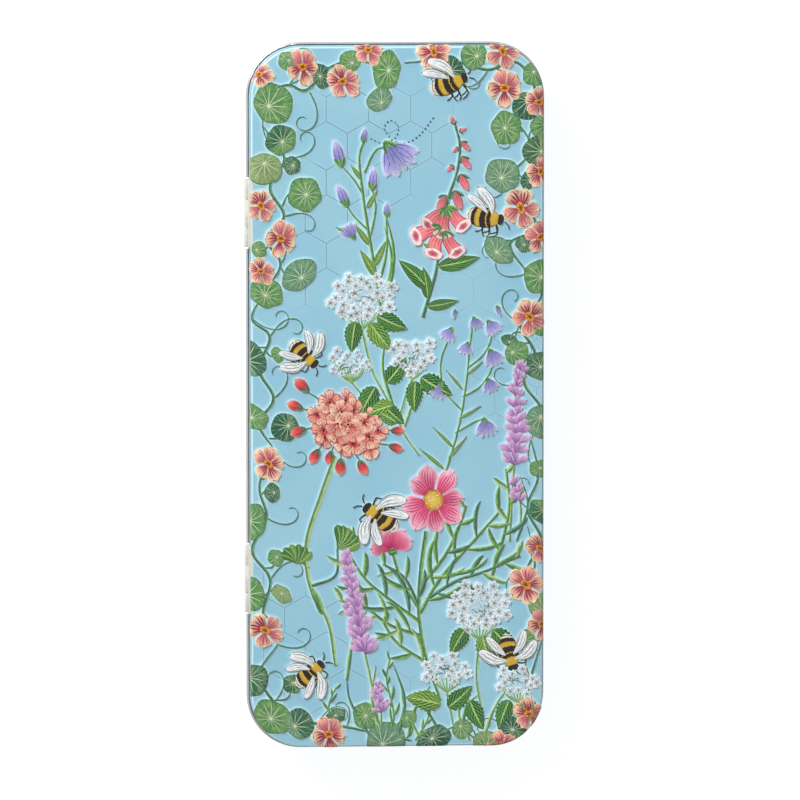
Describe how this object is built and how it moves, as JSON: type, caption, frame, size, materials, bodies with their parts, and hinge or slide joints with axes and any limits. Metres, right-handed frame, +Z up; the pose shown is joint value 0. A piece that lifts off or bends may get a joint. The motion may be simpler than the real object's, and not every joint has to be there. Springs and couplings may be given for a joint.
{
  "type": "hinged tin pencil case",
  "caption": "Flat pressed tinplate pencil case with round corners and an embossed, printed lid on side hinges.",
  "frame": {"origin": "centre of the base's flat underside, at the middle of the pan's outline", "axes": "+X along the short side, away from the hinges; +Y along the long side; +Z up, out of the lid's top"},
  "size_m": [0.0828, 0.195, 0.02],
  "materials": {
    "printed_tin": "gloss lithographed print on tinplate, embossed, bare silver tinplate inside and on the rolled edge",
    "cream_enamel": "gloss enamel",
    "pin_steel": "bright drawn wire"
  },
  "bodies": {
    "base": {"base_pan": "printed_tin", "upper_hinge_base_leaf": "cream_enamel", "upper_hinge_pin": "pin_steel", "lower_hinge_base_leaf": "cream_enamel", "lower_hinge_pin": "pin_steel"},
    "lid": {"lid_shell": "printed_tin", "upper_hinge_lid_leaf": "cream_enamel", "lower_hinge_lid_leaf": "cream_enamel"}
  },
  "joints": [
    {"name": "lid_hinge", "type": "hinge", "parent": "base", "child": "lid", "pos_m": [-0.04075, 0, 0.0126], "axis": [0, -1, 0], "range_deg": [0, 180]}
  ]
}
